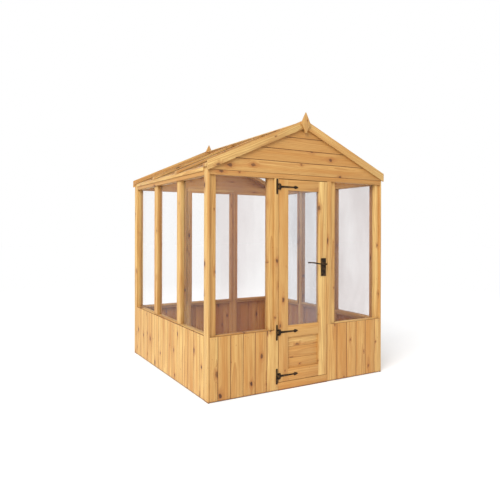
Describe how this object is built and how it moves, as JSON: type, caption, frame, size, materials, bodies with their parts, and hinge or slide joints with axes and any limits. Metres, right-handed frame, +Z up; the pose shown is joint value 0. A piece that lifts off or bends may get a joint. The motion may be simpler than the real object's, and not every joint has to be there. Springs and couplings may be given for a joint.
{
  "type": "potting shed",
  "caption": "Small timber potting shed with boarded lower walls, tall windows, a glazed apex roof, finials and a hinged half-glazed door with strap hinges and a lever latch.",
  "frame": {"origin": "middle of the plan, on the ground", "axes": "+Z up, -Y out of the wall with the door, +X to the right of someone facing that door"},
  "size_m": [1.83, 1.9625, 2.3414],
  "materials": {
    "pine_boards": "satin stained softwood boards",
    "pine_timber": "satin stained planed softwood",
    "clear_pane": "clear",
    "black_iron": "satin black",
    "steel": "brushed"
  },
  "bodies": {
    "shed": {"front_left_frame": "pine_timber", "front_right_frame": "pine_timber", "door_hinge_post": "pine_timber", "door_lock_post": "pine_timber", "threshold": "pine_timber", "door_stops": "pine_timber", "left_wall_frame": "pine_timber", "right_wall_frame": "pine_timber", "rear_wall_frame": "pine_timber", "front_left_cladding": "pine_boards", "front_right_cladding": "pine_boards", "left_wall_cladding": "pine_boards", "right_wall_cladding": "pine_boards", "rear_wall_cladding": "pine_boards", "corner_strips": "pine_timber", "door_post_strips": "pine_timber", "head_strips": "pine_timber", "front_window_panes": "clear_pane", "left_window_panes": "clear_pane", "right_window_panes": "clear_pane", "rear_window_panes": "clear_pane", "window_beads": "pine_timber", "front_gable_frame": "pine_timber", "rear_gable_frame": "pine_timber", "front_gable_boards": "pine_boards", "rear_gable_boards": "pine_boards", "eave_plates": "pine_timber", "eave_fascias": "pine_timber", "left_roof_bars": "pine_timber", "right_roof_bars": "pine_timber", "roof_rails": "pine_timber", "left_roof_panes": "clear_pane", "right_roof_panes": "clear_pane", "roof_glazing_strips": "pine_timber", "ridge_board": "pine_timber", "ridge_capping": "pine_timber", "front_bargeboards": "pine_boards", "rear_bargeboards": "pine_boards", "front_finial": "pine_timber", "rear_finial": "pine_timber", "hinge_plates": "black_iron", "latch_keep": "steel"},
    "door": {"door_hinge_stile": "pine_timber", "door_lock_stile": "pine_timber", "door_top_rail": "pine_timber", "door_middle_rail": "pine_timber", "door_bottom_rail": "pine_timber", "door_panel_boards": "pine_boards", "door_pane": "clear_pane", "door_beads": "pine_timber", "hinge_straps": "black_iron", "handle_plates": "black_iron", "lock_case": "steel"},
    "handle": {"lever_and_knob": "black_iron", "spindle": "steel"},
    "latch": {"latch_bolt": "steel"}
  },
  "joints": [
    {"name": "door_swing", "type": "hinge", "parent": "shed", "child": "door", "pos_m": [-0.2545, -0.9455, 0.118], "axis": [0, 0, -1], "range_deg": [0, 160]},
    {"name": "lever_turn", "type": "hinge", "parent": "door", "child": "handle", "pos_m": [0.212, -0.922, 1.04], "axis": [0, -1, 0], "range_deg": [0, 40], "stiffness_Nm_per_rad": 2, "springref_deg": -22.92},
    {"name": "latch_slide", "type": "slide", "parent": "door", "child": "latch", "axis": [-1, 0, 0], "range_m": [0, 0.009]}
  ],
  "couplings": [
    {"joint": "latch_slide", "follows": "lever_turn", "m_per_rad": 0.01218}
  ]
}
